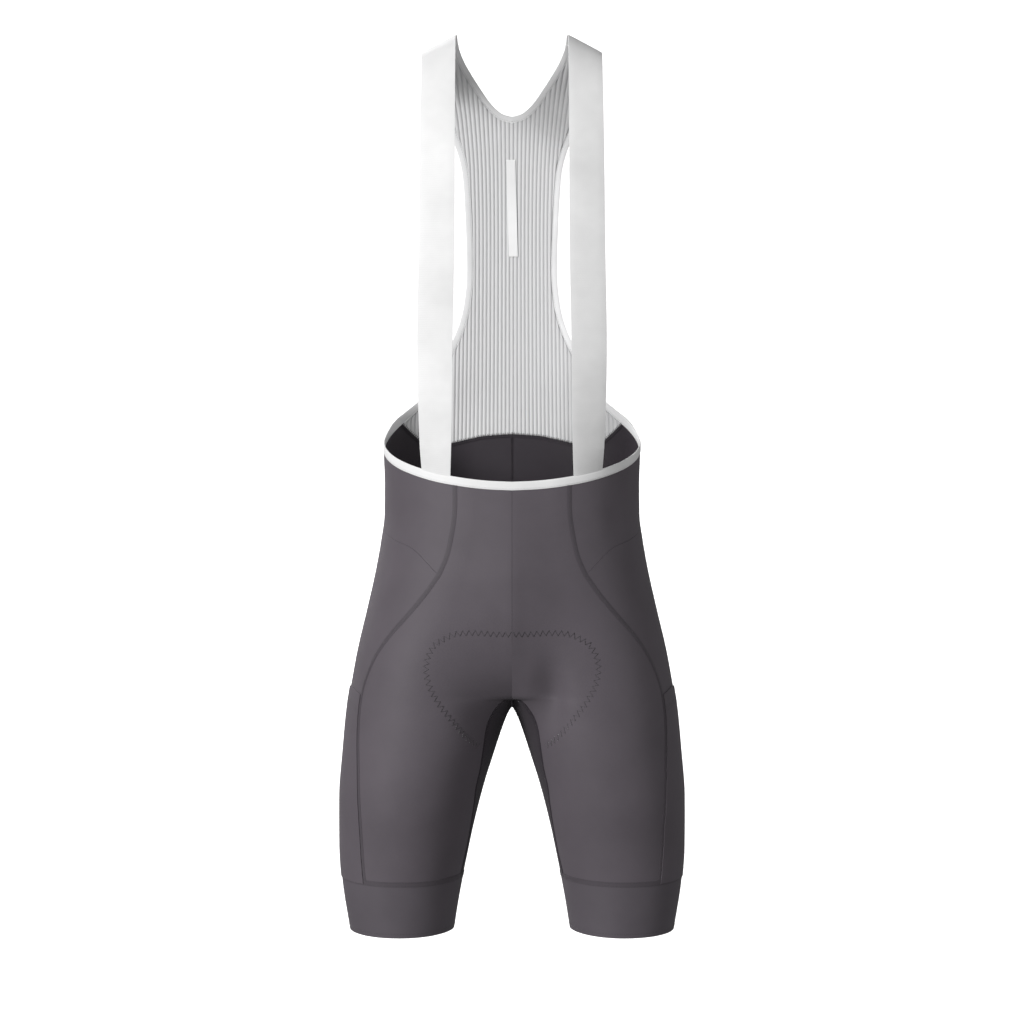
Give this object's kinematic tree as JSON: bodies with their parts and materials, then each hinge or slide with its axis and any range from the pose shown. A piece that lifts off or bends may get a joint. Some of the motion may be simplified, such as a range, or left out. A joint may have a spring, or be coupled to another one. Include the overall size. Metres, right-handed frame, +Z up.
{
  "type": "cycling bib shorts",
  "caption": "Cycling bib shorts, filled out as worn, with dark knit shorts, a ribbed back and white shoulder straps.",
  "frame": {"origin": "midway between the tops of the two shoulder straps, where the wearer's shoulders carry it", "axes": "+Z up, the front of the garment faces -Y, +X is the side on the right as seen from the front"},
  "size_m": [0.3622, 0.249, 0.9306],
  "materials": {
    "knit": "smooth matt elastane knit",
    "gusset_knit": "matt elastane knit",
    "gripper_knit": "dense matt elastane knit",
    "white_elastic": "smooth white elastic",
    "ribbed_knit": "ribbed white knit"
  },
  "bodies": {
    "root": {"front_panel_right": "knit", "front_panel_left": "knit", "hip_panel_right": "knit", "hip_panel_left": "knit", "back_panel_right": "knit", "back_panel_left": "knit", "thigh_pocket_right": "knit", "thigh_pocket_left": "knit", "gusset": "gusset_knit", "leg_gripper_right": "gripper_knit", "leg_gripper_left": "gripper_knit", "waist_binding": "white_elastic", "armhole_band_right": "ribbed_knit", "armhole_band_left": "ribbed_knit", "neck_band": "ribbed_knit", "ribbed_back": "ribbed_knit", "shoulder_strap_right": "white_elastic", "shoulder_strap_left": "white_elastic", "care_label": "white_elastic"}
  },
  "joints": []
}
